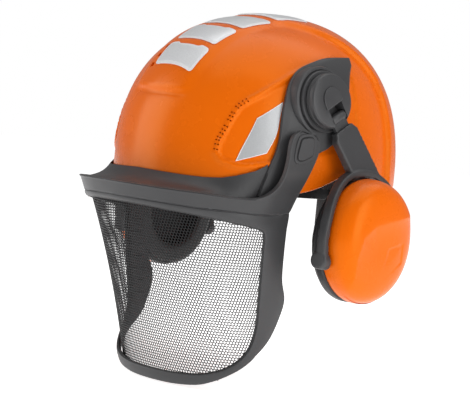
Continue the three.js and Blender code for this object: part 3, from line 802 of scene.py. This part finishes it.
def bracket(s, t, w):
    side = np.sign(t - 0.5)
    along = np.abs(2 * t - 1)
    top, low = spline(BRACKET_TOP, along), spline(BRACKET_LOW, along)
    spot = low + (top - low) * s[:, None]
    # the rolled top edge, and the ledge behind it that fills the gap to the brim's lip
    rolled = ROLLED_EDGE * smooth_step(s, 0.84, 0.98) * (1 - smooth_step(along, 0.75, 0.9))
    flange = LEDGE * smooth_step(s, 0.80, 0.84) * (1 - smooth_step(along, 0.78, 0.88))
    p = visor_at(spot[:, 0], spot[:, 1], -(BRACKET_WALL + flange) * (1 - w) + rolled * w)
    lean = smooth_step(spot[:, 1], -30, 10) * smooth_step(spot[:, 0], 0.8, 1.0)
    plane = PIVOT_X + 4 * w
    p[:, 0] += (plane - p[:, 0]) * lean
    p[:, 0] *= np.where(side == 0, 1, side)
    return p


dress(thing("visor_bracket_moulding", slab(18, 300, bracket)), GREY, "visor", ["visor_bracket"], edge=0.9)

CAP = np.array([(-57.5, 17.2), (-51.5, 15.2), (-41, 19.6), (-40, 22), (-40, 32.5), (-43, 35),
                (-52.5, 33.8), (-55, 31)])


def prism(outline, low, high, inset=0.0):
    """A flat outline in Y and Z between two x planes, drawn in by `inset`."""
    middle = outline.mean(axis=0)
    way = outline - middle
    far = np.linalg.norm(way, axis=1)[:, None]
    flat = middle + way * (far - inset) / far
    rows = [np.column_stack([np.full(len(flat), x), flat]) for x in (low, high)]
    return loft(rows)


def round_outline(points, rounds=2):
    """Cuts the corners of a closed outline."""
    points = np.asarray(points, float)
    for _ in range(rounds):
        ahead = np.roll(points, -1, axis=0)
        points = np.stack([0.78 * points + 0.22 * ahead, 0.22 * points + 0.78 * ahead], axis=1).reshape(-1, 2)
    return points


cap_outline = round_outline(CAP)
pair("pivot_cap_rim", prism(cap_outline, 95.6, 97.0, -1.8), GREY, "visor", edge=0.4)
# a near-black ring between the cap's rim and face, painted as the shade in the groove between them
pair("pivot_cap_painted_shade", prism(cap_outline, 96.4, 97.06, 0.2), PAINTED_SHADE, "visor", sharp=30)
pair("pivot_cap_face", prism(cap_outline, 96.4, 98.0, 1.2), GREY, "visor", ["visor_pivot_cap_"], edge=0.5)

# ------------------------------------------------ visor frame
# the edges of one half, as u and z, from the middle of the top to the middle of the bottom
FRAME_INNER = [(0, -23.8), (0.22, -24.6), (0.42, -26.6), (0.57, -28.3), (0.78, -31.9), (0.90, -34.2),
               (0.962, -36.2), (0.984, -40), (0.985, -48), (0.985, -60), (0.985, -76), (0.985, -90),
               (0.985, -104), (0.955, -116.5), (0.898, -125.5), (0.797, -133.7), (0.674, -140),
               (0.542, -144.3), (0.415, -146.9), (0.22, -148.6), (0, -149)]
FRAME_OUTER = [(0, -20.5), (0.22, -21.0), (0.42, -22.2), (0.57, -23.3), (0.78, -24.1), (0.93, -24.8),
               (1.07, -24.3), (1.192, -21.2), (1.190, -36), (1.188, -52), (1.195, -72), (1.236, -87),
               (1.20, -101), (1.12, -117), (1.0, -129), (0.86, -137.5), (0.70, -145), (0.55, -151),
               (0.42, -154.8), (0.22, -157), (0, -157.5)]
FRAME_WALL = 3.5


def half_way(turns):
    """The share of the way from the middle of the top to the middle of the bottom, and the side."""
    return 1 - np.abs(1 - 2 * turns), np.where(turns < 0.5, 1.0, -1.0)


def frame_rows(count, rim=0.9):
    """Cross-sections round the opening: a strip with rounded edges and a slightly crowned face."""
    rows = []
    bend = np.radians([0, 30, 60, 90])
    edge = list(zip(rim * (1 - np.cos(bend)), -rim * (1 - np.sin(bend))))
    for turn in np.arange(count) / count:
        share, side = half_way(np.array([turn]))
        inner, outer = spline(FRAME_INNER, share)[0], spline(FRAME_OUTER, share)[0]
        ends = visor_at(np.array([inner[0], outer[0]]), np.array([inner[1], outer[1]]), 0.0)
        wide = np.linalg.norm(ends[1] - ends[0])
        front = [(d / wide, lift) for d, lift in edge]
        front += [(f, 0.3 * math.sin(math.pi * f)) for f in (0.38, 0.5, 0.62)]
        front += [(1 - d / wide, lift) for d, lift in reversed(edge)]
        back = [(1 - f, -FRAME_WALL - lift) for f, lift in front if lift <= 0]
        strip = np.array(front + back)
        spot = inner + (outer - inner) * strip[:, :1]
        rows.append(visor_at(spot[:, 0], spot[:, 1], strip[:, 1]) * (side[0], 1, 1))
    return rows


frame_form = loft(frame_rows(360), loop=True)
dress(thing("visor_frame_moulding", frame_form), GREY, "visor", ["visor_frame"], sharp=50)

# the bead that holds the mesh's edge
share, side = half_way(np.linspace(0, 1, 361)[:-1])
bead = spline(FRAME_INNER, share)
bead = visor_at(bead[:, 0], bead[:, 1], -1.9)
bead[:, 0] *= side
dress(thing("mesh_bead", tube(bead, 0.8, 10, loop=True)), BLACK, "visor", sharp=60)

# steps across the inner face of each column, coloured near-black as painted shade
ticks = []
for z in np.arange(-46, -104, -9.5):
    ticks.append(tube(visor_at(np.linspace(1.0, 1.13, 5), np.full(5, z), -FRAME_WALL), 0.45, 6))
pair("column_ticks", together(*ticks), PAINTED_SHADE, "visor", sharp=60)

# ------------------------------------------------ visor mesh, with every hole open
PITCH, WIRE_HALF, MESH_LIFT = 2.32, 0.34, -4.5


def mesh_shape():
    """Staggered rows of six-sided rings, spaced evenly along the curve of the visor."""
    rows = np.arange(-20.0, -156.0, -PITCH * math.sqrt(3) / 2)
    corner = np.radians(30 + 60 * np.arange(6))
    outer = np.stack([np.cos(corner), np.sin(corner)], axis=1) * PITCH / math.sqrt(3)
    inner = np.stack([np.cos(corner), np.sin(corner)], axis=1) * (PITCH / math.sqrt(3) - WIRE_HALF)
    turn = np.linspace(0, np.pi / 2, 200)

    def arc(z):
        a, _, b = visor_size(z)
        a, b = a + MESH_LIFT, b + MESH_LIFT
        step = np.hypot(a * np.cos(turn), b * np.sin(turn))
        return np.concatenate([[0], np.cumsum((step[1:] + step[:-1]) / 2 * np.diff(turn))])

    cells = []
    for number, z in enumerate(rows):
        table = arc(z)
        places = (np.arange(-60, 61) + 0.5 * (number % 2)) * PITCH
        places = places[np.abs(places) < table[-1] + 1]
        u = np.interp(np.abs(places), table, turn) / (np.pi / 2)
        keep = (z < rail_low(u) + 3) & (z > mesh_low(np.minimum(u, 1)) - 3.2)
        cells += [(s, z) for s in places[keep]]
    cells = np.array(cells)
    flat = np.concatenate([cells[:, None] + outer, cells[:, None] + inner], axis=1).reshape(-1, 2)
    keys, index = np.unique(np.round(flat, 2), axis=0, return_inverse=True)
    index = index.reshape(-1, 12)
    faces = [(c[k], c[(k + 1) % 6], c[6 + (k + 1) % 6], c[6 + k]) for c in index.tolist() for k in range(6)]
    points = np.zeros((len(keys), 3))
    for z in np.unique(keys[:, 1]):
        same = keys[:, 1] == z
        table = arc(z)
        s = keys[same, 0]
        u = np.interp(np.abs(s), table, turn) / (np.pi / 2) + np.maximum(0, np.abs(s) - table[-1]) / 100
        points[same] = visor_at(np.sign(s + 1e-12) * u, np.full(len(s), z), MESH_LIFT)
    return points, faces


wire = thing("visor_mesh_wires", mesh_shape())
solid = wire.modifiers.new("thickness", "SOLIDIFY")
solid.thickness = 0.35 * MM
solid.offset = 0
dress(wire, WIRE, "visor", ["visor_mesh"], sharp=40)

# ------------------------------------------------ ear muff turret
TILT = math.radians(9)
OUT = np.array([math.cos(TILT), 0, math.sin(TILT)])
FOOT = np.array([84.5, -26, 59.7])
swing = math.radians(30)
DOWN = np.array([0, math.sin(swing), -math.cos(swing)])
DOWN -= OUT * (DOWN @ OUT)
DOWN /= np.linalg.norm(DOWN)
HINGE_AXIS = np.cross(OUT, DOWN)


def on_turret(out, down=0.0):
    return FOOT + OUT * out + DOWN * down


HINGE = on_turret(9.5, 14)
FLARE = math.radians(4)
STRAP_WAY = DOWN * math.cos(FLARE) + OUT * math.sin(FLARE)

base_profile = [(-11, 26.4), (0.6, 26.4), (1.9, 25.8), (2.5, 24.6), (2.5, 23.8), (1.9, 23.3), (1.9, 22.9),
                (4.3, 22.8), (5.0, 22.2), (5.0, 12)]
clearance = []
for share in np.linspace(0, 1, 49)[:-1]:
    turn = round_turn(96)
    base = dome_base(turn, np.full(96, -0.2) + (np.pi / 2 + 0.2) * share)
    clearance.append(base + shell_normal(base) * 3.0)
clearance = loft(clearance)
for side in SIDES:
    ring = thing(f"turret_ring_{side}", on_side(turned(FOOT, OUT, DOWN, base_profile, 96), side))
    carve(ring, clearance)
    dress(ring, GREY, "helmet", [f"turret_base_{side}"], sharp=28)

drum_profile = [(5.3, 18), (5.3, 19.6), (5.8, 20.2), (8.0, 20.4), (8.5, 19.9), (9.0, 20.2), (11.4, 20.0),
                (12.5, 19.2), (13, 18), (13, 10)]
slot_cut = box(on_turret(9.8, 19), OUT, DOWN, (15.2, 30, 11))
TONGUE_HALF = 9.2
tongue_turn = np.linspace(0, np.pi, 25)
tongue_top = np.column_stack([TONGUE_HALF * np.cos(tongue_turn), -TONGUE_HALF * np.sin(tongue_turn) - 1])
tongue = np.vstack([tongue_top, [(-TONGUE_HALF, 3.4), (TONGUE_HALF, 3.4)]])
tongue_rows = [on_turret(h) + tongue @ (HINGE_AXIS, DOWN) for h in (12.2, 14.0)]
for side in SIDES:
    drum = thing(f"turret_drum_{side}_turned", on_side(turned(FOOT, OUT, DOWN, drum_profile, 96), side))
    carve(drum, on_side(slot_cut, side))
    dress(drum, GREY, f"turret_{side}", [f"turret_drum_{side}"], sharp=28)
    tongue_piece = thing(f"turret_tongue_{side}", on_side(loft(tongue_rows), side))
    dress(tongue_piece, GREY, f"turret_{side}", edge=0.5)

# ------------------------------------------------ ear cups
CUP_Y, CUP_Z, CUP_W, CUP_H = 3.5, -38.5, 40.0, 45.5


def cup_ring(x, size, sides=160):
    """One oval ring of a cup, `size` being 1 at the cup's rim."""
    turn = round_turn(sides)
    y, z = CUP_Y + size * CUP_W * np.cos(turn), CUP_Z + size * CUP_H * np.sin(turn)
    return np.column_stack([np.full(sides, x), y, z])


# creases of the facet and of its tab, as y and z from the cup's middle
FACET_EDGE = [(-23.5, -60), (-24.5, -28.5), (-25.5, -11.5), (-21.5, 4.5), (-11.5, 12.5), (4.5, 16.5),
              (23.5, 20.5), (42, 24)]
TAB_EDGE = [(7.5, -2.5), (22.5, 1.5), (24.0, -13)]
FACET_DEPTH, FACET_SLOPE, TAB_DEPTH = 3.0, 0.34, 0.55


def cup_facets(p):
    """A broad facet towards the rear with a crease along its front and top, and a small shallow tab on it."""
    flat = p[:, 1:] - (CUP_Y, CUP_Z)
    inside = inside_outline(flat, FACET_EDGE + [(60, 24), (60, -60)])
    depth = np.where(inside, path_distance(flat, FACET_EDGE), 0)
    tab = inside_outline(flat, TAB_EDGE + [(0, -30)])
    gap = path_distance(flat, TAB_EDGE)
    step = np.where(tab, smooth_step(gap, 0, 1.0) * np.exp(-gap / 9), 0)
    return p[:, 0] - FACET_DEPTH * (1 - np.exp(-depth * FACET_SLOPE / FACET_DEPTH)) - TAB_DEPTH * step


cup_profile = [(110.5, 0.90), (110.5, 0.985), (110.9, 1.0), (113.5, 1.012), (117, 1.008), (121, 0.995),
               (125, 0.968), (128, 0.925), (130.5, 0.868), (132.5, 0.79), (134, 0.69), (135, 0.57),
               (135.7, 0.42), (136, 0.24)]
curve = spline(cup_profile[2:], np.linspace(0, 1, 76))
rings = [cup_ring(x, r) for x, r in cup_profile[:2]] + [cup_ring(x, r) for x, r in curve]
rings += [cup_ring(136, r) for r in (0.21, 0.18, 0.15, 0.12, 0.09, 0.06, 0.03)]
for ring in rings[20:]:
    ring[:, 0] = cup_facets(ring)
inner_profile = [(132, 0.03), (131.5, 0.4), (129, 0.65), (125, 0.84), (118, 0.93), (111, 0.93)]
inner = [cup_ring(x, r) for x, r in inner_profile]
for ring in inner:
    ring[:, 0] = np.minimum(ring[:, 0], cup_facets(ring) - 2)
pair("ear_cup_shell", loft(inner + rings), ORANGE, "cup_", ["ear_cup_"], sharp=60)

# the dark ring under the cup: it swells to the front and below, and is cut back above, beside the shell
base_ring = [(101.6, 0.90), (101.7, 0.955), (102.6, 0.98), (104.5, 0.99), (108.5, 0.99), (109.9, 0.99),
             (110.4, 0.98), (110.4, 0.70), (109.8, 0.665), (102.2, 0.665), (101.6, 0.70)]
base_rings = [cup_ring(x, r) for x, r in base_ring]
for ring in base_rings:
    ahead = np.clip(0.8 * (CUP_Y - ring[:, 1]) / CUP_W + 0.6 * (CUP_Z - ring[:, 2]) / CUP_H, 0, 1)
    ring[:, 1:] += (ring[:, 1:] - (CUP_Y, CUP_Z)) * 0.045 * ahead[:, None] ** 2
    upper = (ring[:, 2] - CUP_Z) / CUP_H
    ring[:, 0] = np.maximum(ring[:, 0], 101.6 + 6.0 * smooth_step(upper, 0.45, 0.95))
pair("cup_base_ring", loft(base_rings, loop=True), BLACK, "cup_", ["cup_base_"], sharp=50)
foam_profile = [(113.8, 0.05), (113.8, 0.5), (114.0, 0.8), (115.5, 0.84), (118.5, 0.83), (120.2, 0.78),
                (120.5, 0.4), (120.5, 0.05)]
foam_disc = loft([cup_ring(x, r) for x, r in foam_profile])
for piece in pair("cup_foam_disc", foam_disc, FOAM, "cup_", ["cup_foam_"], sharp=60):
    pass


# ------------------------------------------------ padded pieces
def puff(obj, voxel, pressure, reach, frames=16):
    """Blows a padded piece up a little as cloth, then keeps each point within `reach` of where it started."""
    step = obj.modifiers.new("melt", "REMESH")
    step.mode = "VOXEL"
    step.voxel_size = voxel * MM
    settle(obj)
    start = np.array([v.co for v in obj.data.vertices])
    cloth = obj.modifiers.new("cloth", "CLOTH")
    cloth.settings.use_pressure = True
    cloth.settings.uniform_pressure_force = pressure
    cloth.settings.effector_weights.gravity = 0
    cloth.settings.quality = 5
    cloth.point_cache.frame_start, cloth.point_cache.frame_end = 1, frames
    for number in range(1, frames + 1):
        scene.frame_set(number)
    settle(obj)
    scene.frame_set(1)
    now = np.array([v.co for v in obj.data.vertices])
    move = now - start
    far = np.linalg.norm(move, axis=1)[:, None]
    now = start + move * np.minimum(1, reach * MM / np.maximum(far, 1e-9))
    obj.data.vertices.foreach_set("co", now.ravel())
    relax = obj.modifiers.new("relax", "SMOOTH")
    relax.factor, relax.iterations = 0.5, 3
    finer = obj.modifiers.new("finer", "SUBSURF")
    finer.levels = finer.render_levels = 1
    return settle(obj)


cushion_section = [(97.3, 0.80), (97.2, 0.90), (98.4, 0.965), (100.2, 0.98), (101.4, 0.965),
                   (101.4, 0.64), (100.2, 0.62), (98.4, 0.64), (97.2, 0.71)]
CUSHION_BACK = 101.5
cushion_form = loft([cup_ring(x, r, 96) for x, r in cushion_section], loop=True)
cushion = thing("ear_cushion_pad_left", cushion_form)
puff(cushion, 1.6, 3, 0.9)
for vertex in cushion.data.vertices:
    vertex.co.x = min(vertex.co.x, CUSHION_BACK * MM)
other = bpy.data.objects.new("ear_cushion_pad_right", cushion.data.copy())
scene.collection.objects.link(other)
other.data.transform(Matrix.Diagonal((-1, 1, 1, 1)))
other.data.flip_normals()
seam = tube(cup_ring(100.6, 0.976, 128), 0.35, 8, loop=True)
for piece, side in zip((cushion, other), SIDES):
    dress(piece, SKIN, f"cup_{side}", [f"ear_cushion_{side}"], sharp=70)
pair("cushion_seam", seam, SKIN, "cup_", sharp=70)


# ------------------------------------------------ yoke: strap, shoulders and fork in one moulding
def oval(grow, angles):
    """Points round the cup's outline, `grow` outside it, as y and z."""
    turn = np.radians(angles)
    return np.column_stack([CUP_Y + (CUP_W + grow) * np.cos(turn), CUP_Z + (CUP_H + grow) * np.sin(turn)])


def fork(s, t, w):
    """An arch over the cup, 8 mm wide, that steps out towards its front end."""
    flat = oval(2 + 4.5 * w, -24 + 228 * t)
    return np.column_stack([102 + 10 * smooth_step(t, 0.55, 0.85) + 8 * s, flat])


STRAP_START, STRAP_LONG, STRAP_WIDE, STRAP_THICK = 8.6, 44, 24.5, 6.6


def strap(s, t, w):
    """The flat strap from the hinge down to the arch, narrower and thinner at its top."""
    wide = STRAP_WIDE - 6 * (1 - smooth_step(t, 0.0, 0.14))
    thick = STRAP_THICK + 0.6 * t
    p = HINGE + np.outer(STRAP_START + STRAP_LONG * t, STRAP_WAY) + np.outer((s - 0.5) * wide, HINGE_AXIS)
    return p - np.outer((w - 0.5) * thick, np.cross(STRAP_WAY, HINGE_AXIS))


hollow_outline = oval(1.6, np.linspace(0, 360, 96, endpoint=False))
cup_hollow = loft([np.column_stack([np.full(96, x), hollow_outline]) for x in (90, 150)])
arm_slot = box(HINGE + STRAP_WAY * 20.5, np.cross(STRAP_WAY, HINGE_AXIS), STRAP_WAY, (15.4, 41, 4.2))
END_PROFILE = [(0, 6.2), (6.4, 6.2), (7.6, 5.2)]
ends = [turned(np.array([x, CUP_Y + way * 38.4, -53]), Y_AXIS * way, X_AXIS, END_PROFILE, 40)
        for x, way in ((112, -1), (115, -1), (106, 1))]
yoke_form = together(slab(6, 90, fork), slab(8, 30, strap), *ends)
for side in SIDES:
    yoke = thing(f"muff_yoke_{side}_moulding", on_side(yoke_form, side))
    fuse(yoke, 0.8, 4)
    carve(yoke, on_side(cup_hollow, side), on_side(arm_slot, side))
    dress(yoke, GREY, f"yoke_{side}", [f"muff_yoke_{side}"], sharp=45)


# ------------------------------------------------ harness
def sweat(s, t, w):
    """A quilted band inside the front of the headband."""
    turn = np.radians(-90 - 56 + 112 * t)
    swell = 0.75 + 0.25 * np.abs(np.sin(9 * np.pi * t)) ** 0.4
    depth = 0.25 + 3.7 * swell * np.sqrt(np.clip(1 - (2 * s - 1) ** 4, 0, 1))
    inset = np.where(w > 0.5, 0.35, depth)
    return np.column_stack([(72 - inset) * np.cos(turn), (92 - inset) * np.sin(turn), -11 + 20 * s])


sweatband = dress(thing("sweatband_pad", slab(14, 140, sweat)), FOAM, "helmet", ["sweatband"], sharp=70)
CLIP_HEIGHT, WEBBING_WIDE, WEBBING_THICK = 12, 18, 1.5


def cradle(before, after, top, to_world):
    """Webbing that goes up over the head and ends in a straight tab on each side, hemmed along both edges."""
    def put(s, t, w):
        end = np.minimum(s, 1 - s)
        share = 1 / 12
        turn = np.pi * (np.clip(s, share, 1 - share) - share) / (1 - 2 * share)
        reach = np.where(s < 0.5, before, after)
        lift = WEBBING_THICK * w
        along = -(reach + lift) * np.cos(turn)
        up = CLIP_HEIGHT + (top - CLIP_HEIGHT + lift) * np.sin(turn) - 16 * np.maximum(0, 1 - end / share)
        hem = 0.25 * (np.abs(2 * t - 1) > 0.82) * (w - 0.5)
        return to_world(along, (t - 0.5) * WEBBING_WIDE, up + hem)
    return slab(96, 12, put)


crossways = cradle(77, 77, 98, lambda along, across, up: np.stack([along, -across, up], 1))
lengthways = cradle(95.5, 84.5, 101, lambda along, across, up: np.stack([across, along, up], 1))
for name, webbing in (("cross", crossways), ("long", lengthways)):
    dress(thing(f"cradle_webbing_{name}", webbing), WEBBING, "helmet", [f"cradle_strap_{name}"], edge=0.25)


def pad_top(r):
    """Height of the underside of the webbing at a distance from the middle."""
    return CLIP_HEIGHT + 86 * np.sqrt(1 - (r / 77) ** 2) - 0.8


# radius, and how far below the webbing, from the middle of the top to the middle of the underside
PAD_ROWS = [(0.5, 0.4), (9, 0.5), (18, 0.6), (25, 0.9), (28, 2.2), (28, 3.6), (25, 5.0), (18, 5.6),
            (9, 5.8), (0.5, 5.8)]
pad_profile = [(pad_top(r) - below, r) for r, below in PAD_ROWS]
pad_form = turned(np.zeros(3), Z_AXIS, X_AXIS, pad_profile, 72)
crown_pad = thing("crown_pad_disc", pad_form)
puff(crown_pad, 1.8, 2, 0.25, 10)
dress(crown_pad, FOAM, "helmet", ["crown_pad"], sharp=70)

# ------------------------------------------------ CAD pieces that keep their shape
KEPT = {
    BLACK: ["headband", "nape_band", "cradle_clip_left", "cradle_clip_right", "cradle_clip_front",
            "cradle_clip_rear"],
    GREY: ["ratchet_housing", "ratchet_knob", "muff_arm_left", "muff_arm_right", "yoke_stud_front_left",
           "yoke_stud_front_right", "yoke_stud_rear_left", "yoke_stud_rear_right"],
    STEEL: ["turret_rivet_left", "turret_rivet_right", "arm_hinge_pin_left", "arm_hinge_pin_right"],
}
for material, names in KEPT.items():
    for name in names:
        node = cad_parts[name]
        node.data.materials.clear()
        node.data.materials.append(material)
        weld = node.modifiers.new("weld", "WELD")
        weld.merge_threshold = 0.01 * MM
        edge = node.modifiers.new("edge", "BEVEL")
        edge.width = (0.2 if "pin" in name else 0.5) * MM
        edge.segments = 2
        edge.limit_method = "ANGLE"
        edge.angle_limit = math.radians(40)
        edge.harden_normals = True
        node.data.polygons.foreach_set("use_smooth", [True] * len(node.data.polygons))

# ------------------------------------------------ floor
low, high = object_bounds()
FLOOR_HALF, FLOOR_DROP = 4000, 1
floor_top = low.z / MM - FLOOR_DROP
corners = [(x * FLOOR_HALF, y * FLOOR_HALF, floor_top) for x, y in ((-1, -1), (1, -1), (1, 1), (-1, 1))]
floor = thing("floor", (corners, [(0, 1, 2, 3)]))
paper, nodes, links, shader, where = node_set("pale_floor")
speckle = noise(nodes, links, where, 3, 2)
paper_tone = blend_colour(nodes, links, speckle, (0.93, 0.93, 0.93), (0.96, 0.96, 0.96))
links.new(paper_tone, shader.inputs["Base Color"])
set_inputs(shader, {"Roughness": 0.9, "Emission Color": (1, 1, 1, 1), "Emission Strength": 0.8})
floor.data.materials.append(paper)
